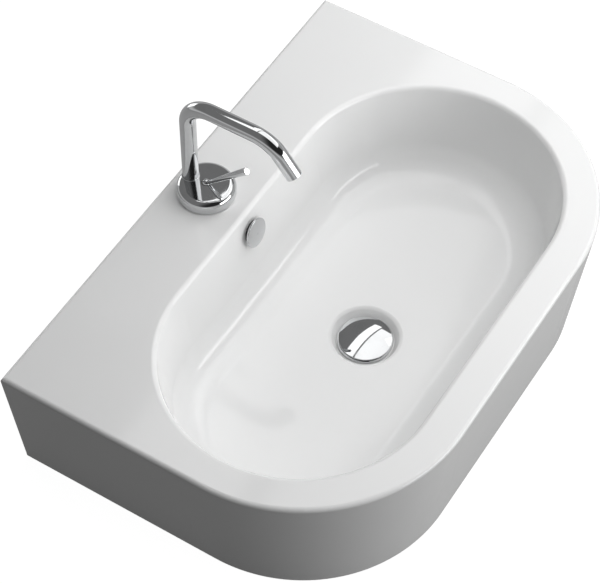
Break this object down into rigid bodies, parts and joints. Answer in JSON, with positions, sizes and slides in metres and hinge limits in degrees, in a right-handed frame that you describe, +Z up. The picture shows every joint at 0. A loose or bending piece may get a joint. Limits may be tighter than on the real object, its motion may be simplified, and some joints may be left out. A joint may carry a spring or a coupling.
{
  "type": "countertop basin with mixer tap",
  "caption": "Countertop basin in glazed ceramic with round front corners and an oval bowl, fitted with a joystick mixer tap, a swivelling bent spout, a push-to-open waste and an overflow.",
  "frame": {"origin": "on the counter, under the middle of the basin's outline", "axes": "+X along the wall to the right as seen from the front, +Y towards the wall, +Z up"},
  "size_m": [0.6488, 0.4435, 0.3217],
  "materials": {
    "glaze": "white gloss glaze",
    "chrome": "polished chrome plate",
    "brass": "turned brass",
    "steel": "stamped stainless steel",
    "rubber": "moulded black rubber",
    "white_plastic": "moulded white plastic",
    "grey_plastic": "moulded grey plastic",
    "disc_ceramic": "lapped alumina"
  },
  "bodies": {
    "basin": {"basin_body": "glaze", "waste_body": "chrome", "waste_top_seal": "rubber", "waste_lower_seal": "rubber", "waste_washer": "white_plastic", "waste_backnut": "brass", "waste_latch": "white_plastic", "overflow_sleeve": "white_plastic", "overflow_seal": "rubber", "overflow_cap": "chrome", "tap_cover": "chrome", "tap_body": "brass", "tap_gasket": "rubber", "spout_collar": "chrome", "shank_rubber_washer": "rubber", "shank_steel_washer": "steel", "shank_nut": "brass", "cartridge_body": "grey_plastic", "cartridge_seals": "rubber", "cartridge_nut": "brass", "fixed_disc": "disc_ceramic"},
    "plug": {"plug_cap": "chrome", "plug_seal": "rubber", "plug_push_rod": "brass"},
    "spout": {"spout_tube": "chrome", "spout_spigot": "brass", "spout_rings": "rubber", "spout_snap_ring": "white_plastic", "aerator_housing": "grey_plastic", "aerator_grille": "grey_plastic"},
    "mixer": {"cartridge_carrier": "grey_plastic"},
    "lever": {"lever_hub": "chrome", "lever_rod": "chrome"},
    "disc": {"moving_disc": "disc_ceramic", "disc_driver": "grey_plastic"}
  },
  "joints": [
    {"name": "plug_slide", "type": "slide", "parent": "basin", "child": "plug", "axis": [0, 0, 1], "range_m": [0, 0.008]},
    {"name": "spout_swivel", "type": "hinge", "parent": "basin", "child": "spout", "pos_m": [0, 0.198, 0.19], "axis": [0, 0, 1], "range_deg": [-60, 60]},
    {"name": "lever_turn", "type": "hinge", "parent": "basin", "child": "mixer", "pos_m": [0, 0.1775, 0.1902], "axis": [0, 0, 1], "range_deg": [-45, 45]},
    {"name": "lever_lift", "type": "hinge", "parent": "mixer", "child": "lever", "pos_m": [0, 0.1775, 0.1902], "axis": [-1, 0, 0], "range_deg": [0, 25]},
    {"name": "disc_slide", "type": "slide", "parent": "mixer", "child": "disc", "axis": [0, -1, 0], "range_m": [0, 0.0041]}
  ],
  "couplings": [
    {"joint": "disc_slide", "follows": "lever_lift", "m_per_rad": 0.0092017}
  ]
}
